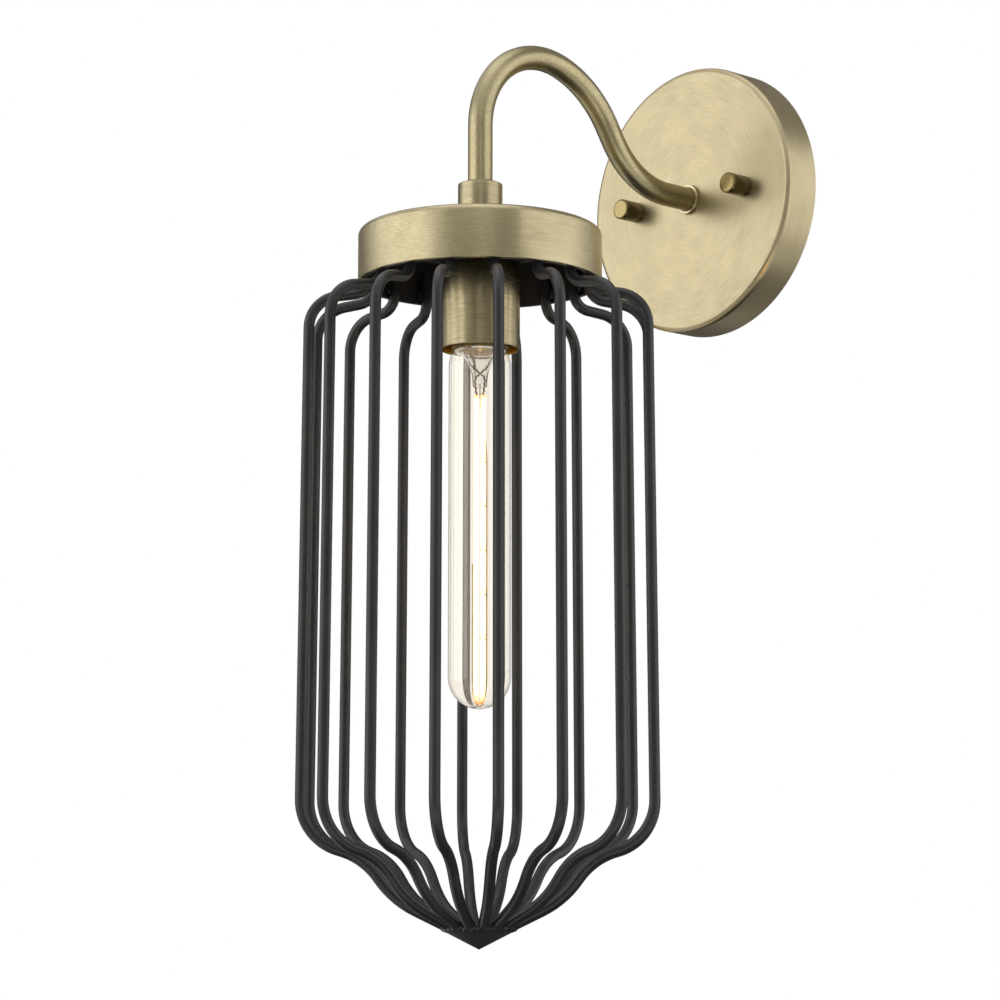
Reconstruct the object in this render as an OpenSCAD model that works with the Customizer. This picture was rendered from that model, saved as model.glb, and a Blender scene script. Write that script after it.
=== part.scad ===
// Cage wall light: a gooseneck arm on a round wall canopy carries a drum cap,
// a cage of bent steel bars and a long tubular filament bulb.
// Origin: wall plane (Y = 0) on the canopy's axis. -Y points into the room, +Z up.

/* [Canopy] */
// Diameter of the wall canopy
canopy_d = 127; // [120:1:150]
// Depth of the canopy from the wall to its face
canopy_depth = 19; // [18:0.5:30]
// Rounding between the canopy's face and its rim
canopy_round = 2.5; // [2:0.1:5]
// Thickness of the pressed steel sheet of canopy, cap and pan
sheet = 1.2; // [1:0.1:1.6]
// Diameter of the thin ring round the arm's foot
ring_d = 14.4; // [13.5:0.1:18]
// Height of that ring above the canopy's face
ring_h = 2; // [1.5:0.1:4]

/* [Wall fixing] */
// Spacing of the two studs that carry the canopy
stud_spacing = 70; // [64:0.5:72]
// Diameter of the studs
stud_d = 4; // [3.5:0.1:5]
// Spacing of the wall box screws
box_spacing = 89; // [87:0.5:92]
// Width of the slots for the wall box screws
slot_w = 4.5; // [4:0.1:5]
// Length of those slots
slot_len = 8; // [7:0.5:9]
// Width of the mounting bar
bar_w = 20; // [18:0.5:26]
// Thickness of the mounting bar
bar_t = 2; // [1.5:0.1:3]
// Diameter of the round cap nuts on the canopy
cap_nut_d = 9.8; // [8:0.1:12]
// Height of the cap nuts
cap_nut_h = 11; // [10:0.5:14]

/* [Arm] */
// Outer diameter of the gooseneck tube
tube_d = 11; // [10.6:0.1:12]
// Diameter of the threaded ends and of the hollow nipple
thread_d = 10; // [9.5:0.1:10.2]
// Bore of the tube
tube_bore = 8; // [6.5:0.1:8.4]
// Straight run where the tube leaves the canopy
entry_run = 15; // [6:0.5:30]
// Radius of the bend that turns the arm upward
rise_bend = 42; // [30:1:60]
// How steeply the arm climbs
rise_angle = 57; // [45:1:65]
// Straight run of the climb
rise_run = 8; // [2:0.5:30]
// Radius of the wide bend on the wall side of the crown
crown_far_bend = 53; // [40:1:70]
// Angle that the wide bend turns
crown_far_angle = 42; // [30:1:60]
// Radius of the tighter bend on the lamp side of the crown
crown_near_bend = 38.5; // [30:0.5:50]
// Straight drop into the coupling
drop_run = 25.8; // [15:0.1:40]

/* [Coupling and cap] */
// Diameter of the coupling above the cap
neck_d = 19.8; // [17:0.1:24]
// Height of the coupling
neck_h = 22.3; // [20:0.1:35]
// Diameter of the flat top of the coupling, inside its slope
neck_top_d = 13.8; // [12:0.1:16]
// Height of the slope round the coupling's top
neck_slope = 1.2; // [0.5:0.1:3]
// Diameter of the drum cap
cap_d = 108; // [104:1:120]
// Height of the drum cap
cap_h = 23.8; // [21:0.1:30]
// Rounding of the cap's upper edge
cap_round = 3; // [2.5:0.1:5]

/* [Cage] */
// Number of bars in the cage
bar_count = 16; // [10:1:16]
// Diameter of the bars
wire_d = 4.8; // [4:0.1:5]
// Turn of the first bar from straight out of the wall
cage_turn = 10.2; // [0:0.1:22.5]
// Share of the hand-welded unevenness that the bars keep, 0 for an even cage
sway_share = 1; // [0:0.1:1]
// Diameter of the circle of bar axes at the shoulder
cage_d = 151; // [148:1:170]
// Radius of the bend under the cap
root_bend = 8; // [6:0.5:9]
// Slope of the short run from the cap to the shoulder
shoulder_fall = 8; // [0:0.5:12]
// Radius of the shoulder bend
shoulder_bend = 14.6; // [12:0.1:16]
// How far the bars lean outward as they go down
lean = 0.45; // [0:0.05:1]
// Length of the straight bar
bar_straight = 205.5; // [190:0.5:240]
// Radius of the round heel at the bottom
heel_bend = 22.5; // [18:0.5:26]
// Slope where the heel ends
heel_fall = 15; // [8:1:22]
// Radius of the hollow bend below the heel
dip_bend = 30.5; // [24:0.5:36]
// Steepest slope of the hollow
dip_fall = 55; // [48:1:60]
// Radius of the bend that leads into the tip
foot_bend = 41.5; // [32:0.5:46]
// Slope of the bars where they meet the tip
foot_fall = 26; // [22:1:30]
// Diameter of the circle on which the bar axes meet the tip
tip_ring_d = 29.7; // [29:0.1:34]

/* [Lampholder and bulb] */
// Diameter of the sleeve round the lampholder
cup_d = 35.2; // [34:0.1:40]
// Length of the sleeve
cup_len = 51.1; // [48:0.1:70]
// Wall of the sleeve
cup_wall = 1; // [0.8:0.1:1.5]
// Diameter of the tubular bulb
bulb_d = 27.5; // [25:0.5:32]
// Length of the bulb from its contact to the end of its glass
bulb_len = 185; // [150:1:200]
// Diameter of the bulb's screw base
base_d = 26.2; // [25.8:0.1:26.3]
// Wall of the bulb's glass
glass_wall = 0.8; // [0.6:0.1:1]

/* [Hidden] */
$fn = 96;
eps = 0.01;
free_play = 0.1;
thread_play = 0.05;
slide_play = 0.06;
contact_play = 0.02;
seam_lip = 0.02;
least_round = 0.3;

// Colours
BRASS = "#b5a67b";
DARK_BRASS = "#8f8360";
BLACK = "#242425";
ZINC = "#b9bcc0";
GREEN = "#2f7d45";
WHITE = "#ece8de";
COPPER = "#c98a4f";
GLASS = "#e3ddcf";
GLOW = "#ffd48a";

// Wall fixing
bar_margin = 4;
bar_len = box_spacing + slot_len + 2 * bar_margin;
centre_hole_d = 10.6;
stud_len = canopy_depth + 7.5;
stud_nut_af = 7;
stud_nut_h = 3.2;
ground_x = 17;
ground_head_d = 8;
ground_head_h = 3;
ground_slot_w = 1;
nut_round = 0.8;
nut_thread_depth = 8.5;

// Arm
thread_run = 9;
lock_nut_af = 14;
lock_nut_h = 3;
washer_d = 17;
washer_t = 0.8;
crown_near_angle = 90 + rise_angle - crown_far_angle;
arm_steps = [
    [entry_run, 0],
    [rise_bend, rise_angle],
    [rise_run, 0],
    [crown_far_bend, -crown_far_angle],
    [crown_near_bend, -crown_near_angle],
    [drop_run, 0]
];
arm_start = [canopy_depth, 0, 0];
arm_end = chain_at(arm_start, arm_steps, len(arm_steps));
lamp_reach = arm_end[0];
neck_top = arm_end[1];

// Stack below the coupling
cap_top = neck_top - neck_h;
cap_bottom = cap_top - cap_h;
cap_inner_r = cap_d / 2 - sheet;
pan_top = cap_top - sheet;
pan_r = cap_inner_r - free_play;
pan_wall = 1.5;
cup_top = pan_top - sheet;
cup_bottom = cup_top - cup_len;
cup_round = 2;
centre_washer_top = cup_top - cup_wall;
centre_nut_top = centre_washer_top - washer_t;
holder_top = centre_nut_top - lock_nut_h;

// Lampholder
mouth_inset = 5.7;
holder_bottom = cup_bottom + mouth_inset;
holder_r = 15.5;
holder_hub_r = 9;
holder_hub_h = 5;
holder_wall = 1.5;
holder_round = 2;
shell_depth = 21;
contact_z = holder_bottom + shell_depth;
contact_t = 1;
contact_r = 4;
rivet_r = 1.5;
floor_t = 3;
floor_bottom = contact_z + contact_t;
floor_top = floor_bottom + floor_t;
shell_wall = 0.4;
shell_round = 1;
shell_hole_r = 7;
shell_r = holder_r - holder_wall;
nipple_bottom = holder_top - holder_hub_h;
nipple_top = cap_top + thread_run;
nipple_bore = 7;

// Leads held in the arm
lead_r = 1.1;
lead_x = 1.4;
lead_start = 6;
lead_steps = concat(
    [[canopy_depth - lead_start + entry_run, 0]],
    [for (i = [1:len(arm_steps) - 2]) arm_steps[i]],
    [[drop_run + neck_top - floor_top, 0]]
);

// Cage bars, in the plane of radius and height
stub_len = 12;
root_rise = 1.6;
stub_r = pan_r - pan_wall - wire_d / 2;
stub_top = cap_bottom + root_rise + stub_len;
shoulder_reach = shoulder_bend * (cos(lean) - sin(shoulder_fall));
root_reach = root_bend * (1 - sin(shoulder_fall));
root_run = (cage_d / 2 - stub_r - root_reach - shoulder_reach) / cos(shoulder_fall);
bar_start = [stub_r, stub_top, -90];
upper_steps = [
    [stub_len, 0],
    [root_bend, 90 - shoulder_fall],
    [root_run, 0],
    [shoulder_bend, shoulder_fall + lean - 90],
    [bar_straight, 0],
    [heel_bend, heel_fall - lean - 90],
    [dip_bend, dip_fall - heel_fall],
    [foot_bend, foot_fall - dip_fall]
];
foot_start = chain_at(bar_start, upper_steps, len(upper_steps));
foot_run = (foot_start[0] - tip_ring_d / 2) / cos(foot_fall);
foot_end = step_end(foot_start, [foot_run, 0]);
cope = 1;

// Degrees round the lamp by which each bar's straight run stands off its even place
bar_sway = [2, 1.5, -1.5, -3.5, -2, 0.5, 0, -2, 1.5, 2, -1.5, -2, -0.5, 0, 0, 2];
stub_step = 0;
straight_step = 4;
straight_reach = chain_at(bar_start, upper_steps, straight_step + 1)[0] - stub_r;

// Tip: a rim square to the bars above a plain cone
rim_half = wire_d / 2;
rim_low = [foot_end[0] + rim_half * sin(foot_fall), foot_end[1] - rim_half * cos(foot_fall)];
rim_high = [foot_end[0] - rim_half * sin(foot_fall), foot_end[1] + rim_half * cos(foot_fall)];
tip_slope = 27;
tip_low = rim_low[1] - rim_low[0] * tan(tip_slope);

// Bulb
bulb_bottom = contact_z - bulb_len;
base_len = 26;
base_bottom = contact_z - base_len;
base_wall = 0.3;
insulator_h = 2;
insulator_d = 24;
insulator_core_d = 14;
insulator_top_d = 10;
tip_contact_h = 0.6;
base_top = contact_z - insulator_h - contact_play;
ridge_pitch = 3.63;
ridge_h = 0.5;
ridge_turns = 5;
ridge_steps = 8;
glass_neck_r = base_d / 2 - ridge_h - base_wall;
glass_lap = 5;
glass_flare = 7;
stem_r = 3.2;
stem_flare_r = glass_neck_r - glass_wall;
stem_flare_h = 13;
stem_lip = 1;
stem_wall = 0.8;
stem_len = 20;
stem_bottom = base_bottom - stem_len;
filament_turn = 45;
filament_half = 1.3;
filament_r = 0.3;
frame_half = 3.3;
frame_r = 0.35;
frame_bottom = bulb_bottom + glass_wall;
filament_bottom = frame_bottom + 2 * frame_r + filament_r;

// ---- Functions -------------------------------------------------------------

// Name of one cage bar, with two digits
function bar_name(i) = str("cage_bar_", i < 10 ? "0" : "", i);

// End of one step from place p = [x, y, heading]. A step is [length, 0] for a
// straight run or [radius, turn] for a bend, where a turn to the left is positive
function step_end(p, s) =
    s[1] == 0
        ? [p[0] + s[0] * cos(p[2]), p[1] + s[0] * sin(p[2]), p[2]]
        : bend_end(p, s[0] * sign(s[1]), p[2] + s[1]);

// End of a bend of signed radius r that finishes on heading a
function bend_end(p, r, a) =
    [p[0] + r * (sin(a) - sin(p[2])), p[1] - r * (cos(a) - cos(p[2])), a];

// Place after the first n steps
function chain_at(p, steps, n) =
    n == 0 ? p : step_end(chain_at(p, steps, n - 1), steps[n - 1]);

// Azimuth in which a bar leaves its stub, so that its straight run stands off by the sway
function sway_out(sway) =
    atan2(cage_d / 2 * sin(sway), cage_d / 2 * cos(sway) - stub_r);

// Azimuth in which the same bar draws in again, so that its foot is back in its even place
function sway_back(out) =
    atan2(
        straight_reach * sin(out),
        stub_r + straight_reach * cos(out) - tip_ring_d / 2
    );

// Turn of a bar about its own run at the end of step k
function bar_turn(k, out) =
    k == stub_step ? -out : k == straight_step ? out - sway_back(out) : 0;

// Steps of bar i, each with the turn at its end
function bar_steps(i) =
    let (out = sway_out(bar_sway[i - 1] * sway_share))
    concat(
        [for (k = [0:len(upper_steps) - 1]) concat(upper_steps[k], bar_turn(k, out))],
        [[foot_run + cope, 0]]
    );

// ---- Helpers ---------------------------------------------------------------

// Sweeps a rod or tube along the steps, in the XY plane, from a place
// p = [x, y, heading]
module bent(p, steps, r, bore = 0) {
    translate([p[0], p[1], 0])
        rotate([0, 0, p[2]])
            steps_from(steps, 0, r, bore);
}

// Draws step i at the origin along +X, and the later steps where it ends. A step's third value turns
// all that follows it about its run
module steps_from(steps, i, r, bore) {
    one_step(steps[i][0], steps[i][1], r, bore);
    if (i + 1 < len(steps))
        after_step(steps[i][0], steps[i][1])
            rotate([len(steps[i]) > 2 ? steps[i][2] : 0, 0, 0]) {
                straight(-seam_lip, 2 * seam_lip, r + seam_lip, bore - seam_lip);
                steps_from(steps, i + 1, r, bore);
            }
}

// One straight run or bend that starts at the origin along +X
module one_step(size, turn, r, bore) {
    if (turn == 0)
        straight(0, size, r, bore);
    else
        translate([0, sign(turn) * size, 0])
            rotate([0, 0, turn > 0 ? -90 : 90 + turn])
                rotate_extrude(angle = abs(turn))
                    translate([size, 0])
                        tube_section(r, bore);
}

// Straight rod or tube along X, from x on
module straight(x, length, r, bore) {
    translate([x, 0, 0])
        rotate([0, 90, 0])
            linear_extrude(length)
                tube_section(r, bore);
}

// Section of a rod, or of a tube where there is a bore
module tube_section(r, bore) {
    difference() {
        circle(r);
        if (bore > 0)
            circle(bore);
    }
}

// Moves its children to the end of a step
module after_step(size, turn) {
    centre = [0, sign(turn) * size, 0];
    if (turn == 0)
        translate([size, 0, 0])
            children();
    else
        translate(centre)
            rotate([0, 0, turn])
                translate(-centre)
                    children();
}

// Stands a plane of [outward, up] at an azimuth measured from straight out of
// the wall, positive toward +X
module at_azimuth(a) {
    rotate([90, 0, a - 90])
        children();
}

// Moves the lamp's vertical axis to its place
module at_lamp(z = 0) {
    translate([0, -lamp_reach, z])
        children();
}

// Turns +Z out of the wall, toward the room
module out_of_wall(y = 0) {
    translate([0, -y, 0])
        rotate([90, 0, 0])
            children();
}

// Half section of a block with one rounded outer corner at the top
module rounded_section(r, h, corner) {
    square([r - corner, h]);
    square([r, h - corner]);
    translate([r - corner, h - corner])
        circle(corner);
}

// Cup closed at the top and open at z = 0, with a hole through its end
module pressed_cup(r, h, corner, wall, end_wall, hole_r) {
    rotate_extrude()
        difference() {
            rounded_section(r, h, corner);
            translate([0, -1])
                rounded_section(r - wall, h - end_wall + 1, max(corner - wall, least_round));
            translate([0, -1])
                square([hole_r, h + 2]);
        }
}

// Flat ring
module ring(outer_r, inner_r, h) {
    rotate_extrude()
        translate([inner_r, 0])
            square([outer_r - inner_r, h]);
}

// Hexagon nut with a round bore
module hex_nut(across_flats, h, bore_r) {
    difference() {
        cylinder(r = across_flats / 2 / cos(30), h = h, $fn = 6);
        translate([0, 0, -1])
            cylinder(r = bore_r, h = h + 2);
    }
}

// Outline of a slot or of a bar with round ends, centred, along X
module stadium(length, width) {
    square([length - width, width], center = true);
    for (side = [-1, 1])
        translate([side * (length - width) / 2, 0])
            circle(width / 2);
}

// ---- Wall fixing -----------------------------------------------------------

module mounting_bar() {
    color(ZINC)
        out_of_wall()
            linear_extrude(bar_t)
                difference() {
                    stadium(bar_len, bar_w);
                    circle(centre_hole_d / 2);
                    for (side = [-1, 1]) {
                        translate([side * box_spacing / 2, 0])
                            stadium(slot_len, slot_w);
                        translate([side * stud_spacing / 2, 0])
                            circle(stud_d / 2 + thread_play);
                    }
                    translate([ground_x, 0])
                        circle(stud_d / 2 + thread_play);
                }
}

module canopy_studs() {
    color(ZINC)
        for (side = [-1, 1])
            translate([side * stud_spacing / 2, 0, 0])
                out_of_wall()
                    cylinder(d = stud_d, h = stud_len);
}

module stud_lock_nuts() {
    color(ZINC)
        for (side = [-1, 1])
            translate([side * stud_spacing / 2, 0, 0])
                out_of_wall(bar_t)
                    hex_nut(stud_nut_af, stud_nut_h, stud_d / 2 + thread_play);
}

module ground_screw() {
    color(GREEN)
        translate([ground_x, 0, 0])
            difference() {
                union() {
                    out_of_wall()
                        cylinder(d = stud_d, h = bar_t);
                    out_of_wall(bar_t)
                        cylinder(d = ground_head_d, h = ground_head_h);
                }
                out_of_wall(bar_t + ground_head_h - ground_slot_w)
                    translate([-ground_head_d, -ground_slot_w / 2, 0])
                        cube([2 * ground_head_d, ground_slot_w, 2 * ground_slot_w]);
            }
}

// ---- Canopy ----------------------------------------------------------------

module wall_canopy() {
    color(BRASS)
        difference() {
            out_of_wall()
                pressed_cup(
                    canopy_d / 2, canopy_depth, canopy_round, sheet, sheet,
                    thread_d / 2 + free_play);
            for (side = [-1, 1])
                translate([side * stud_spacing / 2, 0, 0])
                    out_of_wall(canopy_depth - 2 * sheet)
                        cylinder(r = stud_d / 2 + 4 * free_play, h = 4 * sheet);
        }
}

// Round cap nut with a blind thread, one for each stud
module canopy_nut(side) {
    color(BRASS)
        translate([side * stud_spacing / 2, 0, 0])
            out_of_wall(canopy_depth)
                rotate_extrude()
                    difference() {
                        rounded_section(cap_nut_d / 2, cap_nut_h, nut_round);
                        translate([0, -1])
                            square([stud_d / 2 + slide_play, nut_thread_depth + 1]);
                    }
}

// ---- Arm -------------------------------------------------------------------

module arm_base_ring() {
    color(BRASS)
        out_of_wall(canopy_depth)
            ring(ring_d / 2, tube_d / 2 + thread_play, ring_h);
}

module arm_lock_washer() {
    color(ZINC)
        out_of_wall(canopy_depth - sheet - washer_t)
            ring(washer_d / 2, thread_d / 2 + thread_play, washer_t);
}

module arm_lock_nut() {
    color(DARK_BRASS)
        out_of_wall(canopy_depth - sheet - washer_t - lock_nut_h)
            hex_nut(lock_nut_af, lock_nut_h, thread_d / 2 + thread_play);
}

module arm_tube() {
    lap = 1;
    color(BRASS)
        at_azimuth(0) {
            bent(arm_start, arm_steps, tube_d / 2, tube_bore / 2);
            bent([canopy_depth - thread_run, 0, 0], [[thread_run + lap, 0]],
                thread_d / 2, tube_bore / 2 - seam_lip);
            bent([arm_end[0], arm_end[1] + lap, -90], [[thread_run + lap, 0]],
                thread_d / 2, tube_bore / 2 - seam_lip);
        }
}

// One insulated lead from the canopy through the arm to the lampholder
module lead(side) {
    translate([side * lead_x, 0, 0])
        at_azimuth(0)
            bent([lead_start, 0, 0], lead_steps, lead_r);
}

module lead_live() {
    color(BLACK)
        lead(-1);
}

module lead_neutral() {
    color(WHITE)
        lead(1);
}

// ---- Coupling, cap and pan -------------------------------------------------

module neck_coupling() {
    color(BRASS)
        at_lamp(cap_top)
            rotate_extrude()
                difference() {
                    polygon([
                        [0, 0],
                        [neck_d / 2, 0],
                        [neck_d / 2, neck_h - neck_slope],
                        [neck_top_d / 2, neck_h],
                        [0, neck_h]
                    ]);
                    translate([0, -1])
                        square([thread_d / 2 + thread_play, neck_h + 2]);
                }
}

module shade_cap() {
    color(BRASS)
        at_lamp(cap_bottom)
            pressed_cup(
                cap_d / 2, cap_h, cap_round, sheet, sheet,
                thread_d / 2 + free_play);
}

module cage_pan() {
    color(BLACK)
        at_lamp(cap_bottom)
            pressed_cup(
                pan_r, cap_h - sheet, cap_round, pan_wall, sheet,
                thread_d / 2 + free_play);
}

module centre_nipple() {
    color(ZINC)
        at_lamp(nipple_bottom)
            ring(thread_d / 2, nipple_bore / 2, nipple_top - nipple_bottom);
}

module centre_washer() {
    color(ZINC)
        at_lamp(centre_nut_top)
            ring(washer_d / 2, thread_d / 2 + thread_play, washer_t);
}

module centre_nut() {
    color(DARK_BRASS)
        at_lamp(holder_top)
            hex_nut(lock_nut_af, lock_nut_h, thread_d / 2 + thread_play);
}

// ---- Lampholder ------------------------------------------------------------

module socket_cup() {
    color(BRASS)
        at_lamp(cup_bottom)
            pressed_cup(
                cup_d / 2, cup_len, cup_round, cup_wall, cup_wall,
                thread_d / 2 + free_play);
}

// Moulded body: hub on the nipple, wiring chamber, floor and socket well
module lampholder_body() {
    body_h = holder_top - holder_bottom;
    chamber_low = floor_top - holder_bottom;
    chamber_high = body_h - holder_hub_h;
    color(BLACK)
        at_lamp(holder_bottom)
            rotate_extrude()
                difference() {
                    union() {
                        square([holder_hub_r, body_h]);
                        rounded_section(holder_r, chamber_high + holder_wall, holder_round);
                    }
                    translate([0, -1])
                        square([shell_r, floor_bottom - holder_bottom + 1]);
                    translate([0, chamber_low])
                        square([shell_r, chamber_high - chamber_low]);
                    square([rivet_r, body_h]);
                    translate([0, chamber_high - eps])
                        square([thread_d / 2 + thread_play, holder_hub_h + 1]);
                }
}

// Brass shell that the bulb screws into
module lampholder_shell() {
    shell_h = floor_bottom - holder_bottom - 1;
    color(BRASS)
        at_lamp(floor_bottom - shell_h)
            pressed_cup(
                shell_r - thread_play, shell_h, shell_round, shell_wall, shell_wall,
                shell_hole_r);
}

// Centre contact with the rivet that fixes it to the floor
module lampholder_contact() {
    color(COPPER)
        at_lamp(contact_z) {
            cylinder(r = contact_r, h = contact_t);
            cylinder(r = rivet_r, h = contact_t + floor_t);
        }
}

// ---- Cage ------------------------------------------------------------------

// Solid of the tip: a rim square to the bars, a flat top and a plain cone
module tip_solid() {
    rotate_extrude()
        polygon([[0, tip_low], rim_low, rim_high, [0, rim_high[1]]]);
}

// One bar, coped where it meets the tip
module cage_bar(i) {
    color(BLACK)
        at_lamp()
            difference() {
                at_azimuth(cage_turn + (i - 1) * 360 / bar_count)
                    bent(bar_start, bar_steps(i), wire_d / 2);
                tip_solid();
            }
}

module cage_tip() {
    color(BLACK)
        at_lamp()
            tip_solid();
}

// ---- Bulb ------------------------------------------------------------------

// Solid shape of the bulb's glass, drawn in by an inset: neck, flare, tube and dome
module bulb_form(inset) {
    r = bulb_d / 2 - inset;
    neck_r = glass_neck_r - inset;
    neck_z = base_bottom + glass_lap + inset;
    dome_z = bulb_bottom + bulb_d / 2;
    at_lamp()
        rotate_extrude()
            polygon([
                [0, dome_z],
                [0, neck_z],
                [neck_r, neck_z],
                [neck_r, base_bottom],
                [r, base_bottom - glass_flare],
                [r, dome_z]
            ]);
    at_lamp(dome_z)
        sphere(r);
}

module bulb_glass() {
    color(GLASS, 0.4)
        difference() {
            bulb_form(0);
            bulb_form(glass_wall);
        }
}

// Screw base with rolled ridges
module bulb_base() {
    crest_r = base_d / 2;
    ridge_top = base_top - 1;
    count = ridge_turns * ridge_steps;
    ridges = [
        for (k = [0:count])
            [
                crest_r - ridge_h / 2 * (1 + cos(360 * k / ridge_steps)),
                ridge_top - k * ridge_pitch / ridge_steps
            ]
    ];
    root_r = crest_r - ridge_h;
    color(BRASS)
        at_lamp()
            rotate_extrude()
                difference() {
                    polygon(concat(
                        [[0, base_bottom], [0, base_top], [root_r, base_top]],
                        ridges,
                        [[root_r, base_bottom]]
                    ));
                    translate([0, base_bottom - 1])
                        square([glass_neck_r, base_top - base_bottom + 1 - base_wall]);
                    translate([0, base_top - 1])
                        square([insulator_core_d / 2, 2]);
                }
}

// Glass insulator between the base and the centre contact
module bulb_insulator() {
    color(BLACK)
        at_lamp()
            rotate_extrude()
                polygon([
                    [0, base_top - base_wall],
                    [insulator_core_d / 2, base_top - base_wall],
                    [insulator_core_d / 2, base_top],
                    [insulator_d / 2, base_top],
                    [insulator_top_d / 2, base_top + insulator_h - tip_contact_h],
                    [0, base_top + insulator_h - tip_contact_h]
                ]);
}

module bulb_contact() {
    color(COPPER)
        at_lamp(base_top + insulator_h - tip_contact_h)
            cylinder(r = contact_r, h = tip_contact_h);
}

// Glass stem: a hollow flare sealed into the neck and a solid pinch below it
module bulb_stem() {
    lip_top = base_bottom - stem_lip;
    lip_low = lip_top - stem_lip;
    pinch_top = lip_low - stem_flare_h;
    color(GLASS, 0.6)
        at_lamp()
            rotate_extrude()
                polygon([
                    [0, stem_bottom],
                    [stem_r, stem_bottom],
                    [stem_r, pinch_top],
                    [stem_flare_r, lip_low],
                    [stem_flare_r, lip_top],
                    [stem_flare_r - stem_wall, lip_top],
                    [stem_flare_r - stem_wall, lip_low],
                    [stem_r - stem_wall, pinch_top],
                    [0, pinch_top]
                ]);
}

// Wire bent to a hairpin that hangs from the stem
module hairpin(half, wire_r, bottom) {
    leg = stem_bottom - bottom - half - wire_r;
    at_lamp()
        rotate([90, 0, filament_turn])
            bent([-half, stem_bottom, -90], [[leg, 0], [half, 180], [leg, 0]], wire_r);
}

// Wire frame that stands on the dome and holds the filament
module bulb_support() {
    color(ZINC)
        hairpin(frame_half, frame_r, frame_bottom);
}

module bulb_filament() {
    color(GLOW)
        hairpin(filament_half, filament_r, filament_bottom);
}

// ---- Assembly --------------------------------------------------------------

mounting_bar();
canopy_studs();
stud_lock_nuts();
ground_screw();
wall_canopy();
canopy_nut(-1);  // canopy_nut_left
canopy_nut(1);  // canopy_nut_right
arm_base_ring();
arm_lock_washer();
arm_lock_nut();
arm_tube();
lead_live();
lead_neutral();
neck_coupling();
shade_cap();
cage_pan();
centre_nipple();
centre_washer();
centre_nut();
socket_cup();
lampholder_body();
lampholder_shell();
lampholder_contact();
for (i = [1:bar_count])
    cage_bar(i);
cage_tip();
bulb_glass();
bulb_base();
bulb_insulator();
bulb_contact();
bulb_stem();
bulb_support();
bulb_filament();
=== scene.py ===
# %% [markdown]
# # A cage wall light, dressed
#
# The object is a wall light. A round brass canopy sits on the wall, a gooseneck tube climbs out of
# it and drops into a shallow drum cap, and sixteen bent black bars hang from the cap round a long,
# lit filament bulb. The solid parts come from the construction model and stay as they are. What is
# made here is their finish, and the fine things that a solid model leaves out: soft edges, the
# filament's coil with its wires and glass stem, and the weld beads that hold the bars.
#
# The construction model is loaded first, because every place in this file is measured from it.

# %% Load the solid parts
import math

import bpy
from mathutils import Matrix, Vector


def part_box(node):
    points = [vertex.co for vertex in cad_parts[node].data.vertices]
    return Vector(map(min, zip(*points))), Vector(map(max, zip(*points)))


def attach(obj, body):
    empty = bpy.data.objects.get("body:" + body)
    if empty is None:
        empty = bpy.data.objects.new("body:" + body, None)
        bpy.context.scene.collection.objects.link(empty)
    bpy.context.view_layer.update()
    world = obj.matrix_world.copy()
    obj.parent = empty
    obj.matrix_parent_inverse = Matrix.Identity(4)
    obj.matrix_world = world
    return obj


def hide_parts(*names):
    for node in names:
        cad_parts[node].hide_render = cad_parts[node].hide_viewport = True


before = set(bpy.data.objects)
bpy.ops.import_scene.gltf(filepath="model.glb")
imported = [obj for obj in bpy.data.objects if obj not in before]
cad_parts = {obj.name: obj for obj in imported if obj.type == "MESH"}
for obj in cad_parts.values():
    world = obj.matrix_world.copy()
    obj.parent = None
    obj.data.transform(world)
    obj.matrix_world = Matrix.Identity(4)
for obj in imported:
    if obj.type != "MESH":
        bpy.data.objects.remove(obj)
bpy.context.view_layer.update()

# %% [markdown]
# The lamp hangs on one vertical axis, and the canopy on one axis that points out of the wall. Both
# are read from the boxes of the solid parts, so that everything added below sits on them. All
# lengths here are in metres, so a helper lets a size be written in millimetres, as on a drawing.

# %% Axes and levels
def mm(length):
    return length / 1000.0


def level(part, top):
    """Lowest or highest height of a solid part."""
    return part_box(part)[1 if top else 0].z


cap_low, cap_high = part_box("shade_cap")
lamp_y = (cap_low.y + cap_high.y) / 2
glass_bottom = level("bulb_glass", False)
sleeve_mouth = level("socket_cup", False)
stem_top, stem_bottom = level("bulb_stem", True), level("bulb_stem", False)
filament_bottom = level("bulb_filament", False)
pan_mouth = level("cage_pan", False)
tip_low = level("cage_tip", False)
print("lamp axis at y", round(lamp_y, 5), "sleeve ends at z", round(sleeve_mouth, 4))

# %% [markdown]
# ## Camera
# The photograph was taken from the right of the lamp and a little below it, with a long lens, so
# the drum cap shows its underside and lines hardly converge. A long lens far away keeps those
# proportions, where a short one near by would swell the cage. The camera is aimed at a point on the
# lamp's axis and then turned by a fraction of a degree, because the picture is not centred there.

# %% Camera
camera = bpy.data.objects.new("camera", bpy.data.cameras.new("camera"))
bpy.context.scene.collection.objects.link(camera)
bpy.context.scene.camera = camera
camera.data.sensor_width = 36
camera.data.lens = 104.375
camera.data.clip_start = 0.05
camera.data.clip_end = 50

aim = Vector((0, mm(-152.45), mm(-150)))
azimuth, elevation, distance = math.radians(47.82), math.radians(-8.46), 1.27
yaw, pitch, roll = math.radians(0.39), math.radians(-0.33), math.radians(0.10)

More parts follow.
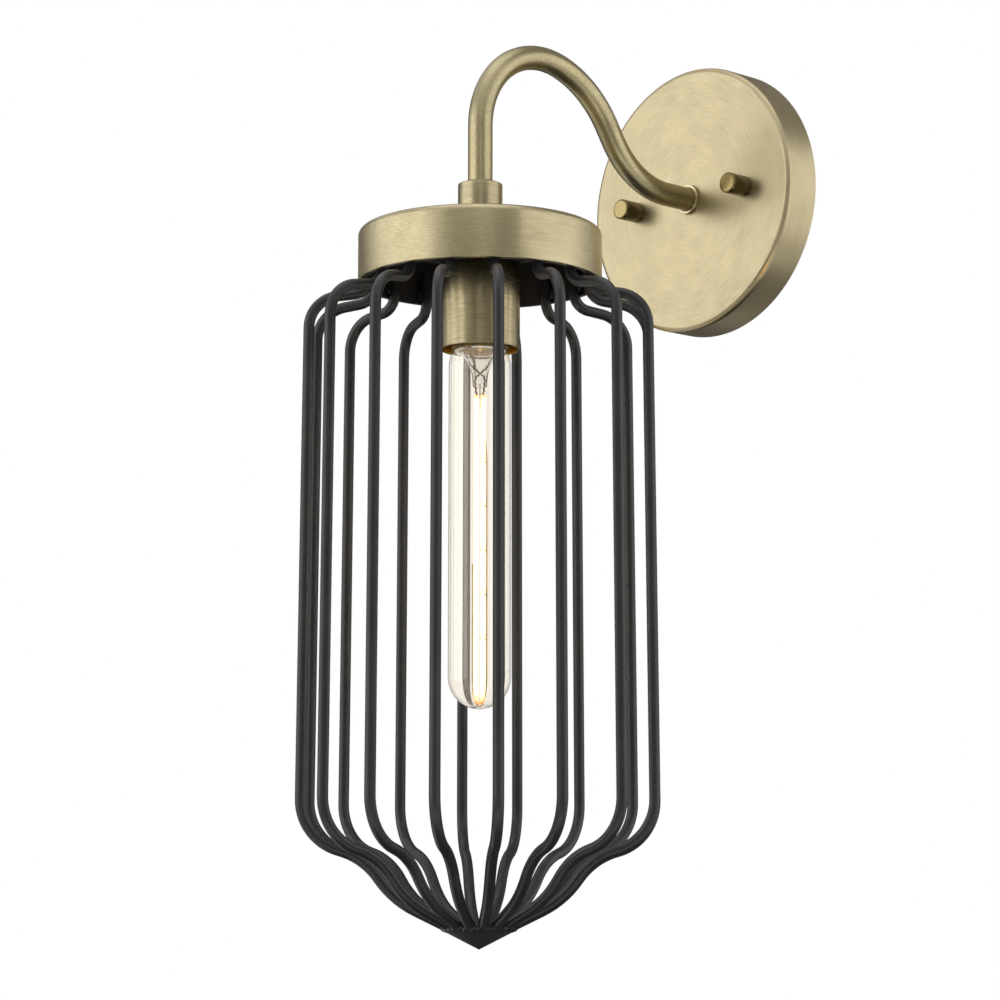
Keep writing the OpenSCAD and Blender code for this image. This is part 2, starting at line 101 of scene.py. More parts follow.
away = Vector((
    math.cos(elevation) * math.sin(azimuth),
    -math.cos(elevation) * math.cos(azimuth),
    math.sin(elevation),
))
forward = -away
right = forward.cross(Vector((0, 0, 1))).normalized()
up = right.cross(forward)
forward, right = (
    forward * math.cos(yaw) + right * math.sin(yaw),
    right * math.cos(yaw) - forward * math.sin(yaw),
)
forward, up = (
    forward * math.cos(pitch) + up * math.sin(pitch),
    up * math.cos(pitch) - forward * math.sin(pitch),
)
right, up = (
    right * math.cos(roll) + up * math.sin(roll),
    up * math.cos(roll) - right * math.sin(roll),
)
turned = Matrix((right, up, -forward)).transposed().to_4x4()
camera.matrix_world = Matrix.Translation(aim + away * distance) @ turned
print("camera at", [round(c, 4) for c in camera.matrix_world.translation])

# %% [markdown]
# ## Colours and nodes
# Colours are written as the hex values that a screen shows. A shader counts in linear light, so one
# function turns them. A second function adds a shader node with its settings and links, which keeps
# each finish short enough to read as a recipe.

# %% Helpers for finishes
def colour(hex_value):
    """An sRGB hex colour as linear red, green, blue and alpha."""
    parts = [int(hex_value[i : i + 2], 16) / 255 for i in (1, 3, 5)]
    return [c / 12.92 if c <= 0.04045 else ((c + 0.055) / 1.055) ** 2.4 for c in parts] + [1.0]


def add_node(tree, kind, settings=None, inputs=None):
    """A node with its settings and its inputs, each one a value or another node's socket."""
    made = tree.nodes.new(kind)
    for name, value in (settings or {}).items():
        setattr(made, name, value)
    for name, value in (inputs or {}).items():
        if isinstance(value, bpy.types.NodeSocket):
            tree.links.new(value, made.inputs[name])
        else:
            made.inputs[name].default_value = value
    return made


def new_finish(name, **shader):
    """An empty finish: its material, its node tree and its shader."""
    material = bpy.data.materials.new(name)
    material.use_nodes = True
    tree = material.node_tree
    shader_node = tree.nodes["Principled BSDF"]
    for socket, value in shader.items():
        shader_node.inputs[socket.replace("_", " ")].default_value = value
    return material, tree, shader_node


# %% [markdown]
# ## Brushed antique brass
# Canopy, arm, coupling, cap and sleeve are brass-plated steel, brushed with a fine abrasive while
# they turn, stained a little and lacquered. The eye sees a pale khaki metal whose reflections are
# soft, with hairlines that follow the turning: rings on the canopy's face, level lines round the
# cap. A photograph of brushed metal could be laid on, but it would stretch over the rounded edges.
# Noise that is squeezed hard across the lines and left long along them follows any shape.
#
# Real hairlines are near 0.1 mm wide, which is less than one pixel here, so they are drawn 0.3 to
# 0.8 mm wide. They tint the metal, change its roughness and press a shallow groove into it.
#
# The same recipe leaves room for three things that break up a plain brass surface. Inside the
# sleeve the metal is raw and more golden. On the canopy's front edge a brighter coppery tone is
# mixed in, in patches. The end faces of the nuts take a lighter tone than their dark sides, which
# is a painted highlight.

# %% Brushed brass recipe
# The coppery edge tone is mixed in patches along the canopy's rim.
# The lighter tone on the nuts' end faces is a painted highlight.
raw_brass, coppery_edge_brass, face_highlight_brass = "#b48f2e", "#d09a3c", "#94845a"
stain_mm, groove_depth = 18, mm(0.05)


def brushed_brass(
    name, centre, turning_axis, across_mm=0.5, along_mm=22, groove=0.12, gloss=0.35,
    dark="#998e70", light="#b5aa88", raw_within_mm=0, coppery_edge=None, face_highlight=None,
):
    """Satin brass with hairlines round an axis ("X", "Y", "Z") through a centre, or straight along
    it where the axis is written in lower case. Gloss is its middle roughness. Nearer the axis than
    raw_within_mm the brass is raw. A coppery edge, mixed in patches, is given by its radius in mm
    and its place along the axis in metres, and a painted highlight on an end face in the same way."""
    material, tree, shader = new_finish(name, Metallic=1.0)
    place = add_node(tree, "ShaderNodeTexCoord")
    moved = add_node(
        tree, "ShaderNodeVectorMath", {"operation": "SUBTRACT"},
        {0: place.outputs["Object"], 1: centre},
    )
    split = add_node(tree, "ShaderNodeSeparateXYZ", None, {"Vector": moved.outputs[0]})
    axis = turning_axis.upper()
    others = [a for a in "XYZ" if a != axis]
    flat = add_node(
        tree, "ShaderNodeCombineXYZ", None,
        {"X": split.outputs[others[0]], "Y": split.outputs[others[1]]},
    )
    radius = add_node(tree, "ShaderNodeVectorMath", {"operation": "LENGTH"}, {0: flat.outputs[0]})
    if turning_axis == axis:
        across = (radius.outputs["Value"], split.outputs[axis])
        along = split.outputs[others[0]]
    else:
        across = (split.outputs[others[0]], split.outputs[others[1]])
        along = split.outputs[axis]
    lines = add_node(
        tree, "ShaderNodeCombineXYZ", None, {"X": across[0], "Y": across[1], "Z": along},
    )
    fine = 1 / mm(across_mm)
    stretched = add_node(
        tree, "ShaderNodeVectorMath", {"operation": "MULTIPLY"},
        {0: lines.outputs[0], 1: (fine, fine, 1 / mm(along_mm))},
    )
    hairlines = add_node(
        tree, "ShaderNodeTexNoise", None,
        {"Vector": stretched.outputs[0], "Scale": 1.0, "Detail": 3.0, "Roughness": 0.6},
    )
    stain = add_node(
        tree, "ShaderNodeTexNoise", None,
        {"Vector": place.outputs["Object"], "Scale": 1 / mm(stain_mm), "Detail": 4.0,
         "Roughness": 0.55},
    )
    both = add_node(
        tree, "ShaderNodeMix", {"data_type": "FLOAT"},
        {"Factor": 0.35, "A": hairlines.outputs["Fac"], "B": stain.outputs["Fac"]},
    )
    tone = add_node(tree, "ShaderNodeValToRGB", None, {"Fac": both.outputs["Result"]})
    tone.color_ramp.elements[0].position = 0.36
    tone.color_ramp.elements[0].color = colour(dark)
    tone.color_ramp.elements[1].position = 0.64
    tone.color_ramp.elements[1].color = colour(light)
    inside = add_node(
        tree, "ShaderNodeMath", {"operation": "LESS_THAN"},
        {0: radius.outputs["Value"], 1: mm(raw_within_mm)},
    )
    metal = add_node(
        tree, "ShaderNodeMix", {"data_type": "RGBA"}, {"Factor": inside.outputs[0]},
    )
    tree.links.new(tone.outputs["Color"], metal.inputs[6])
    metal.inputs[7].default_value = colour(raw_brass)
    surface = metal
    # Along the rim, where the stain noise is high, a brighter coppery tone is mixed in.
    if coppery_edge:
        edge_radius, edge_place = coppery_edge
        near_rim = add_node(
            tree, "ShaderNodeMapRange", None,
            {"Value": radius.outputs["Value"], "From Min": mm(edge_radius - 1.3),
             "From Max": mm(edge_radius - 0.5)},
        )
        near_face = add_node(
            tree, "ShaderNodeMapRange", None,
            {"Value": split.outputs[axis], "From Min": edge_place + mm(1.6),
             "From Max": edge_place + mm(0.6)},
        )
        edge_patches = add_node(
            tree, "ShaderNodeMapRange", None,
            {"Value": stain.outputs["Fac"], "From Min": 0.50, "From Max": 0.62},
        )
        edge = add_node(
            tree, "ShaderNodeMath", {"operation": "MULTIPLY"},
            {0: near_rim.outputs["Result"], 1: near_face.outputs["Result"]},
        )
        coppery_patches = add_node(
            tree, "ShaderNodeMath", {"operation": "MULTIPLY"},
            {0: edge.outputs[0], 1: edge_patches.outputs["Result"]},
        )
        surface = add_node(
            tree, "ShaderNodeMix", {"data_type": "RGBA"}, {"Factor": coppery_patches.outputs[0]},
        )
        tree.links.new(metal.outputs[2], surface.inputs[6])
        surface.inputs[7].default_value = colour(coppery_edge_brass)
    # A painted highlight: the end face, inside the given radius, takes a lighter tone.
    if face_highlight:
        face_radius, face_place = face_highlight
        at_face = add_node(
            tree, "ShaderNodeMath", {"operation": "LESS_THAN"},
            {0: split.outputs[axis], 1: face_place + mm(0.1)},
        )
        in_face = add_node(
            tree, "ShaderNodeMath", {"operation": "LESS_THAN"},
            {0: radius.outputs["Value"], 1: mm(face_radius)},
        )
        on_face = add_node(
            tree, "ShaderNodeMath", {"operation": "MULTIPLY"},
            {0: at_face.outputs[0], 1: in_face.outputs[0]},
        )
        highlighted_face = add_node(
            tree, "ShaderNodeMix", {"data_type": "RGBA"}, {"Factor": on_face.outputs[0]},
        )
        tree.links.new(surface.outputs[2], highlighted_face.inputs[6])
        highlighted_face.inputs[7].default_value = colour(face_highlight_brass)
        surface = highlighted_face
    tree.links.new(surface.outputs[2], shader.inputs["Base Color"])
    rough = add_node(
        tree, "ShaderNodeMapRange", None,
        {"Value": both.outputs["Result"], "From Min": 0.3, "From Max": 0.7,
         "To Min": gloss + 0.05, "To Max": gloss - 0.05},
    )
    tree.links.new(rough.outputs["Result"], shader.inputs["Roughness"])
    pressed = add_node(
        tree, "ShaderNodeBump", None,
        {"Strength": groove, "Distance": groove_depth, "Height": hairlines.outputs["Fac"]},
    )
    tree.links.new(pressed.outputs["Normal"], shader.inputs["Normal"])
    return material


# %% [markdown]
# Each brass piece was brushed in its own way. The cap has short, deep lines, so a light on it
# spreads upward. The canopy's lines are shallow and long. The arm was polished by hand after it was
# bent, so its lines have no direction. Coupling, nuts and ring were turned, and are glossier.

# %% Brass finishes
canopy_centre, lamp_centre = (0, 0, 0), (0, lamp_y, 0)
canopy_low, canopy_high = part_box("wall_canopy")
canopy_brass = brushed_brass(
    "brushed_brass_canopy", canopy_centre, "Y", across_mm=0.38, along_mm=9, groove=0.06,
    dark="#9e9375", light="#afa383", coppery_edge=(canopy_high.x * 1000, canopy_low.y),
)
cap_brass = brushed_brass(
    "brushed_brass_cap", lamp_centre, "Z", across_mm=0.32, along_mm=2.6, groove=0.25
)
# The coupling is given a darker brass than the cap, as painted shade.
coupling_brass = brushed_brass(
    "brushed_brass_coupling", lamp_centre, "Z", along_mm=8, gloss=0.30,
    dark="#8d8266", light="#a69b7b",
)
sleeve_brass = brushed_brass(
    "brushed_brass_sleeve", lamp_centre, "Z", along_mm=8, groove=0.2, gloss=0.29,
    dark="#8f8465", light="#a99d7d", raw_within_mm=17.1,
)
# The arm is given a darker brass than the cap, as painted shade.
arm_brass = brushed_brass(
    "satin_brass_arm", canopy_centre, "x", across_mm=0.8, along_mm=0.8, groove=0.05, gloss=0.33,
    dark="#90866a", light="#aca27d",
)
# The ring is given a lighter brass than the cap, as painted light.
ring_brass = brushed_brass(
    "turned_brass_ring", canopy_centre, "Y", across_mm=0.4, along_mm=6, gloss=0.2,
    dark="#a3987a", light="#bfb492",
)
nut_names = ("canopy_nut_left", "canopy_nut_right")
nut_edge_mm = 0.9
nut_brass = []
for nut in nut_names:
    nut_low, nut_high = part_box(nut)
    nut_radius_mm = (nut_high.x - nut_low.x) * 1000 / 2
    # Each nut's end face, inside its chamfer, gets a painted highlight.
    nut_brass.append(brushed_brass(
        "turned_brass_" + nut.removeprefix("canopy_"), (nut_low + nut_high) / 2, "Y",
        across_mm=0.4, along_mm=3, gloss=0.22, dark="#5c5134", light="#746a48",
        face_highlight=(nut_radius_mm - nut_edge_mm, (nut_low.y - nut_high.y) / 2),
    ))
print("brass finishes made")

# %% [markdown]
# ## Black powder coat
# The bars, the tip and the pan are steel under a matt black powder, baked until it flows. The coat
# is never as smooth as paint: it keeps an orange-peel texture, which breaks up a highlight along
# each bar. The real texture is near 0.4 mm wide, about one pixel, so it is drawn 0.9 mm wide. A
# flat black would look cut out of paper, so the coat gets a soft sheen and a little change of tone.
# On the welds the powder flows over rough metal, and is finer, darker and glossier.

# %% Powder coat recipe
def powder_coat(name, dark, light, grain_mm, gloss=0.41, cloud_mm=25):
    """Baked matt powder with an orange-peel texture and slow clouds in its tone."""
    material, tree, shader = new_finish(name, Metallic=0.0, IOR=1.45, Specular_IOR_Level=0.5)
    place = add_node(tree, "ShaderNodeTexCoord")
    peel = add_node(
        tree, "ShaderNodeTexNoise", None,
        {"Vector": place.outputs["Object"], "Scale": 1 / mm(grain_mm), "Detail": 2.0},
    )
    cloud = add_node(
        tree, "ShaderNodeTexNoise", None,
        {"Vector": place.outputs["Object"], "Scale": 1 / mm(cloud_mm), "Detail": 3.0},
    )
    tone = add_node(tree, "ShaderNodeValToRGB", None, {"Fac": cloud.outputs["Fac"]})
    tone.color_ramp.elements[0].position = 0.35
    tone.color_ramp.elements[0].color = colour(dark)
    tone.color_ramp.elements[1].position = 0.65
    tone.color_ramp.elements[1].color = colour(light)
    tree.links.new(tone.outputs["Color"], shader.inputs["Base Color"])
    rough = add_node(
        tree, "ShaderNodeMapRange", None,
        {"Value": peel.outputs["Fac"], "From Min": 0.3, "From Max": 0.7, "To Min": gloss - 0.05,
         "To Max": gloss + 0.05},
    )
    tree.links.new(rough.outputs["Result"], shader.inputs["Roughness"])
    bumps = add_node(
        tree, "ShaderNodeBump", None,
        {"Strength": 0.25, "Distance": mm(0.05), "Height": peel.outputs["Fac"]},
    )
    tree.links.new(bumps.outputs["Normal"], shader.inputs["Normal"])
    return material


black_coat = powder_coat("black_powder_coat", "#212122", "#2b2b2b", 0.9, 0.36)
weld_coat = powder_coat("black_coat_on_weld", "#191818", "#282727", 0.6, 0.28)
print("powder coat made")

# %% [markdown]
# ## Zinc plate, moulded black, wire insulation and contacts
# What is hidden behind the canopy and in the sleeve still shows from the back, from below and when
# a nut or the bulb is taken off. Zinc plate is bluish and cloudy. The lampholder is moulded black
# plastic and its shell is bare brass, which heat has darkened on the bulb's base. Wires in the bulb
# are dark from oxide or golden from heat. One recipe serves every plated or bare metal. Plastic,
# paint and cement take the powder's recipe with other colours and grain.

# %% Recipes for the hidden parts
def cloudy_metal(name, dark, light, cloud_mm, low_rough, high_rough):
    """A plated or bare metal with soft clouds in its tone and its roughness."""
    material, tree, shader = new_finish(name, Metallic=1.0)
    place = add_node(tree, "ShaderNodeTexCoord")
    cloud = add_node(
        tree, "ShaderNodeTexNoise", None,
        {"Vector": place.outputs["Object"], "Scale": 1 / mm(cloud_mm), "Detail": 4.0},
    )
    tone = add_node(tree, "ShaderNodeValToRGB", None, {"Fac": cloud.outputs["Fac"]})
    tone.color_ramp.elements[0].position = 0.35
    tone.color_ramp.elements[0].color = colour(dark)
    tone.color_ramp.elements[1].position = 0.65
    tone.color_ramp.elements[1].color = colour(light)
    tree.links.new(tone.outputs["Color"], shader.inputs["Base Color"])
    rough = add_node(
        tree, "ShaderNodeMapRange", None,
        {"Value": cloud.outputs["Fac"], "From Min": 0.3, "From Max": 0.7, "To Min": low_rough,
         "To Max": high_rough},
    )
    tree.links.new(rough.outputs["Result"], shader.inputs["Roughness"])
    return material


zinc = cloudy_metal("zinc_plate", "#a3a8ad", "#c3c8cc", 4, 0.28, 0.42)
bare_brass = cloudy_metal("bare_brass", "#b5974f", "#d2b56a", 5, 0.22, 0.34)
base_brass = cloudy_metal("heat_darkened_base_brass", "#8f6a17", "#b08a2c", 3, 0.25, 0.42)
copper = cloudy_metal("copper_contact", "#b87545", "#d79a66", 2, 0.25, 0.4)
nickel = cloudy_metal("nickel_wire", "#8d8a84", "#aaa69d", 3, 0.25, 0.35)
dark_wire = cloudy_metal("oxidised_lead_wire", "#1d1a15", "#3a332a", 2, 0.35, 0.5)
wrap_wire = cloudy_metal("golden_lead_wire", "#8f6d2a", "#d2a552", 1.5, 0.25, 0.4)
heat_wire = cloudy_metal("heat_tinted_wire", "#70571f", "#a88838", 6, 0.25, 0.4)
cement_finish = powder_coat("baked_base_cement", "#3a3206", "#94801c", 0.7, cloud_mm=2.5)
green_paint = powder_coat("green_ground_paint", "#23693a", "#2f8048", 0.6)
moulded = powder_coat("black_moulded_plastic", "#161616", "#1e1e1e", 0.7)
black_wire = powder_coat("black_wire_insulation", "#141414", "#1b1b1b", 0.8)
white_wire = powder_coat("white_wire_insulation", "#dedad0", "#ebe8df", 0.8)
print("hidden finishes made")

# %% [markdown]
# ## Clear glass and the glowing filament
# The bulb is a drawn glass tube with a wall of 0.8 mm, faintly warm. It is a real shell with two
# surfaces, so light bends at both and the edges darken by themselves. Glass is made by letting
# light through and not by fading the surface, because a faded surface bends nothing. Each surface
# of the bulb's glass also has a weak painted glow, which stands for the filament's light that a lit
# bulb's glass catches. Where the wall is seen on edge, light runs a long way through it and comes
# out brownish, so the tint deepens with the slant.
#
# The filament is tungsten at about 2200 K. Its colour is given as the light that it sends out. The
# wires draw heat off where they meet the coil, so its glow fades to a dull brown at both ends.

# %% Glass recipe
painted_glow_colour, glass_on_edge = "#ffdcae", "#7d6f55"


def clear_glass(name, tint, painted_glow_strength):
    """Smooth soda glass with faint draw lines along the tube, and a weak painted glow on it."""
    # The emission is a painted glow, standing for the filament's light that the glass catches.
    material, tree, shader = new_finish(
        name, Base_Color=colour(tint), Roughness=0.0, IOR=1.47, Transmission_Weight=1.0,
        Emission_Color=colour(painted_glow_colour), Emission_Strength=painted_glow_strength,
    )
    place = add_node(tree, "ShaderNodeTexCoord")
    slant = add_node(tree, "ShaderNodeLayerWeight", None, {"Blend": 0.5})
    thick = add_node(
        tree, "ShaderNodeMapRange", None,
        {"Value": slant.outputs["Facing"], "From Min": 0.76, "From Max": 0.98},
    )
    depth = add_node(
        tree, "ShaderNodeMix", {"data_type": "RGBA"}, {"Factor": thick.outputs["Result"]},
    )
    depth.inputs[6].default_value = colour(tint)
    depth.inputs[7].default_value = colour(glass_on_edge)
    tree.links.new(depth.outputs[2], shader.inputs["Base Color"])
    long = add_node(
        tree, "ShaderNodeVectorMath", {"operation": "MULTIPLY"},
        {0: place.outputs["Object"], 1: (1 / mm(5), 1 / mm(5), 1 / mm(120))},
    )
    drawn = add_node(
        tree, "ShaderNodeTexNoise", None,
        {"Vector": long.outputs[0], "Scale": 1.0, "Detail": 1.0},
    )
    lines = add_node(
        tree, "ShaderNodeBump", None,
        {"Strength": 0.05, "Distance": mm(0.2), "Height": drawn.outputs["Fac"]},
    )
    tree.links.new(lines.outputs["Normal"], shader.inputs["Normal"])
    return material


# The bulb's glass gets a weak painted glow, the stem's glass none.
bulb_clear = clear_glass("drawn_bulb_glass", "#f7f5ef", 0.02)
stem_clear = clear_glass("stem_glass", "#f4f6f5", 0.0)

# %% Glow of the filament
hot, cool = "#ffd794", "#7a4a18"
glow, glow_tree, glow_shader = new_finish(
    "tungsten_glow", Base_Color=colour("#4a4038"), Emission_Color=colour(hot),
    Emission_Strength=5.0, Roughness=0.5,
)
glow_place = add_node(glow_tree, "ShaderNodeTexCoord")
glow_height = add_node(
    glow_tree, "ShaderNodeSeparateXYZ", None, {"Vector": glow_place.outputs["Object"]},
)
glow_head = add_node(
    glow_tree, "ShaderNodeMapRange", None,
    {"Value": glow_height.outputs["Z"], "From Min": stem_bottom - mm(1),
     "From Max": stem_bottom - mm(3), "To Min": 0.15, "To Max": 1.0},
)
glow_foot = add_node(
    glow_tree, "ShaderNodeMapRange", None,
    {"Value": glow_height.outputs["Z"], "From Min": filament_bottom + mm(1),
     "From Max": filament_bottom + mm(6), "To Min": 0.05, "To Max": 1.0},
)
glow_both = add_node(
    glow_tree, "ShaderNodeMath", {"operation": "MINIMUM"},
    {0: glow_head.outputs["Result"], 1: glow_foot.outputs["Result"]},
)
glow_tone = add_node(
    glow_tree, "ShaderNodeMix", {"data_type": "RGBA"}, {"Factor": glow_both.outputs[0]},
)
glow_tone.inputs[6].default_value = colour(cool)
glow_tone.inputs[7].default_value = colour(hot)
glow_tree.links.new(glow_tone.outputs[2], glow_shader.inputs["Emission Color"])
print("glass and glow made")

# %% [markdown]
# ## Dress the solid parts
# Each solid part takes the finish of what it is made of. The table below lists them by finish. The
# sixteen bars are found by their names.

# %% Finishes by part
bars = sorted(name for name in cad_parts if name.startswith("cage_bar_"))
wearing = {
    canopy_brass: ["wall_canopy"],
    nut_brass[0]: nut_names[:1],
    nut_brass[1]: nut_names[1:],
    ring_brass: ["arm_base_ring"],
    arm_brass: ["arm_tube"],
    coupling_brass: ["neck_coupling"],
    cap_brass: ["shade_cap"],
    sleeve_brass: ["socket_cup"],
    zinc: ["mounting_bar", "canopy_studs", "stud_lock_nuts", "arm_lock_washer", "centre_nipple",
           "centre_washer"],
    green_paint: ["ground_screw"],
    bare_brass: ["arm_lock_nut", "centre_nut", "lampholder_shell"],
    base_brass: ["bulb_base"],
    moulded: ["lampholder_body", "bulb_insulator"],
    copper: ["lampholder_contact", "bulb_contact"],
    black_wire: ["lead_live"],
    white_wire: ["lead_neutral"],
    bulb_clear: ["bulb_glass"],
    stem_clear: ["bulb_stem"],
    nickel: ["bulb_support"],
    glow: ["bulb_filament"],
    black_coat: ["cage_pan", "cage_tip"] + bars,
}
for finish, parts in wearing.items():
    for part in parts:
        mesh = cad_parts[part].data
        mesh.materials.clear()
        mesh.materials.append(finish)
left_over = set(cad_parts) - {p for parts in wearing.values() for p in parts}
print("dressed:", sum(len(p) for p in wearing.values()), "left over:", sorted(left_over))

# %% [markdown]
# ## Making a piece by hand
# The pieces below start as a primitive or a drawn wire and are shaped with the same tools as in the
# window: extrude, scale, screw, displace. A few small helpers keep that short. One selects only the
# objects that are named, because an operator acts on all that is selected. One gives a finished
# piece its name, its finish and the body that it moves with, after its place is put into its mesh.
# Two draw a wire: a point is extruded along the wire's path, and the line is then given a round
# section. The last rounds the corners of such a path.

# %% Helpers for pieces
def pick(*chosen):
    """Selects these objects alone and makes the first one active."""
    bpy.ops.object.select_all(action="DESELECT")
    for thing in chosen:
        thing.select_set(True)
    bpy.context.view_layer.objects.active = chosen[0]


def settle(piece, name, finish, body, stands_for=()):
    """Names a finished piece, gives it its finish and its body, and smooths its round faces. It may
    stand for solid parts, which then don't show."""
    pick(piece)
    bpy.ops.object.transform_apply(location=True, rotation=True, scale=True)
    bpy.ops.object.shade_smooth_by_angle(angle=math.radians(40))
    piece.name = piece.data.name = name
    piece.data.materials.clear()
    piece.data.materials.append(finish)
    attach(piece, body)
    if stands_for:
        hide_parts(*stands_for)
    print(name, "has", len(piece.data.polygons), "faces")
    return piece


def drawn_line(points):
    """A line through points, extruded from a single one, as a curve."""
    bpy.ops.object.select_all(action="DESELECT")
    bpy.ops.mesh.primitive_plane_add(size=mm(1), location=points[0])
    bpy.ops.object.mode_set(mode="EDIT")
    bpy.ops.mesh.select_all(action="SELECT")
    bpy.ops.mesh.merge(type="CENTER")
    for here, there in zip(points, points[1:]):
        bpy.ops.mesh.extrude_region_move(TRANSFORM_OT_translate={"value": there - here})
    bpy.ops.object.mode_set(mode="OBJECT")
    bpy.ops.object.transform_apply(location=True, rotation=True, scale=True)
    bpy.ops.object.convert(target="CURVE")
    return bpy.context.object


def drawn_wire(points, thickness, sides=8):
    """A round wire along points, closed at both ends, as a mesh."""
    wire = drawn_line(points)
    wire.data.bevel_depth = thickness / 2
    wire.data.bevel_resolution = sides // 4
    wire.data.use_fill_caps = True
    bpy.ops.object.convert(target="MESH")
    return bpy.context.object


def rounded_path(corners, radius, steps=8):
    """Points along a line of corners, with each inner corner drawn round."""
    path = [corners[0]]
    for before, corner, after in zip(corners, corners[1:], corners[2:]):
        reach = min(radius, (before - corner).length / 2, (after - corner).length / 2)
        start = corner + (before - corner).normalized() * reach
        end = corner + (after - corner).normalized() * reach
        for k in range(steps + 1):
            t = k / steps
            path.append(start * (1 - t) ** 2 + corner * 2 * t * (1 - t) + end * t * t)
    return path + [corners[-1]]


# %% [markdown]
# ## Soft edges
# Pressed sheet never ends in a sharp edge: it turns over a radius of half a millimetre, and that
# radius catches a thin line of light all round the cap's mouth. The solid has sharp edges there. A
# copy of it is merged, so that its faces share their edges, and a bevel then rounds each edge that
# turns by more than 40 degrees. The copy stands for the solid part. The nuts are turned, not
# pressed, so theirs is a plain chamfer, a bevel of one step.

# %% Soft edges on the brass
def soften(part, width, body="fixture", segments=3):
    """A copy of a solid part with rounded or chamfered edges, which stands for it."""
    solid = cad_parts[part]
    copy = solid.copy()
    copy.data = solid.data.copy()
    bpy.context.scene.collection.objects.link(copy)
    pick(copy)
    bpy.ops.object.mode_set(mode="EDIT")
    bpy.ops.mesh.select_all(action="SELECT")
    bpy.ops.mesh.remove_doubles(threshold=mm(0.005))
    bpy.ops.object.mode_set(mode="OBJECT")
    edge = copy.modifiers.new("edge", "BEVEL")
    edge.width = width
    edge.segments = segments
    edge.limit_method = "ANGLE"
    edge.angle_limit = math.radians(40)
    bpy.ops.object.modifier_apply(modifier="edge")
    return settle(copy, part + "_soft", solid.data.materials[0], body, [part])


soften("shade_cap", mm(0.6))
soft_sleeve = soften("socket_cup", mm(0.3))
soften("neck_coupling", mm(0.25))
soften("arm_base_ring", mm(0.3))
for nut in nut_names:
    soften(nut, mm(nut_edge_mm), "cap_" + nut.removeprefix("canopy_"), segments=1)

# %% [markdown]
# ## Inside the bulb
# The filament hangs in a plane that roughly faces the camera. A point inside the bulb is therefore
# given by how far it lies to the side in that plane, how far in front of it, and its height.

# %% A place inside the bulb
facing = math.radians(45)
sideways = Vector((math.cos(facing), math.sin(facing), 0))
toward = Vector((math.sin(facing), -math.cos(facing), 0))


def in_bulb(side, front, height):
    """A point inside the bulb, sideways and in front of the filament's plane, in metres."""
    return Vector((0, lamp_y, height)) + sideways * side + toward * front


# %% [markdown]
# ### The filament
# A long bulb has a coil of tungsten wire as fine as a hair, hung like a hairpin. The solid model
# has a plain bent rod there. A coil can be drawn with a curve, but the screw tool is the better
# lesson: the wire's round section is placed beside an axis and screwed up along it turn by turn. A
# curve modifier then bends the long coil round the hairpin's path. The bulb's lead wires are wound
# in the same way further down.

# %% A wound wire
def wound_along(points, length, radius, pitch, wire, sides=6):
    """A fine wire wound round a line of points, from its first point and for a given length."""
    bpy.ops.object.select_all(action="DESELECT")
    bpy.ops.mesh.primitive_circle_add(
        vertices=sides, radius=wire / 2, location=(radius, 0, 0), rotation=(math.pi / 2, 0, 0)
    )
    winding = bpy.context.object
    bpy.ops.object.transform_apply(location=True, rotation=True, scale=True)
    screw = winding.modifiers.new("turns", "SCREW")
    screw.axis = "Z"
    screw.angle = 2 * math.pi
    screw.screw_offset = pitch
    screw.iterations = round(length / pitch)
    screw.steps = screw.render_steps = 10
    bpy.ops.object.modifier_apply(modifier="turns")
    guide = drawn_line(points)
    follow = winding.modifiers.new("follow", "CURVE")
    follow.object = guide
    follow.deform_axis = "POS_Z"
    pick(winding)
    bpy.ops.object.modifier_apply(modifier="follow")
    bpy.data.objects.remove(guide)
    return winding


# %% [markdown]
# A real coil has turns 0.1 mm apart. They are drawn 0.5 mm apart, so that the coil still shows. The
# hairpin's path is two straight legs with a half circle between them.

# %% Filament coil
coil_half, coil_radius, coil_pitch, coil_wire = mm(1.45), mm(0.95), mm(0.5), mm(0.26)
coil_top = stem_bottom - mm(0.8)
coil_turn = filament_bottom + coil_radius + coil_half
hairpin = [in_bulb(-coil_half, 0, coil_top)]
for k in range(25):
    around = math.pi * k / 24
    hairpin.append(in_bulb(
        -coil_half * math.cos(around), 0, coil_turn - coil_half * math.sin(around)
    ))
hairpin.append(in_bulb(coil_half, 0, coil_top))
coil_length = 2 * (coil_top - coil_turn) + math.pi * coil_half
coil = wound_along(hairpin, coil_length, coil_radius, coil_pitch, coil_wire)
settle(coil, "filament_coil", glow, "bulb", ["bulb_filament"])

# %% [markdown]
# ### The wire that holds it
# A coil this long would sag, so a golden wire leaves the glass between its two legs, swings aside
# and runs down beside it to the dome, where it turns under the hairpin and a little way up again.
# At five levels a small ring on the wire keeps the coil's near leg in its place.

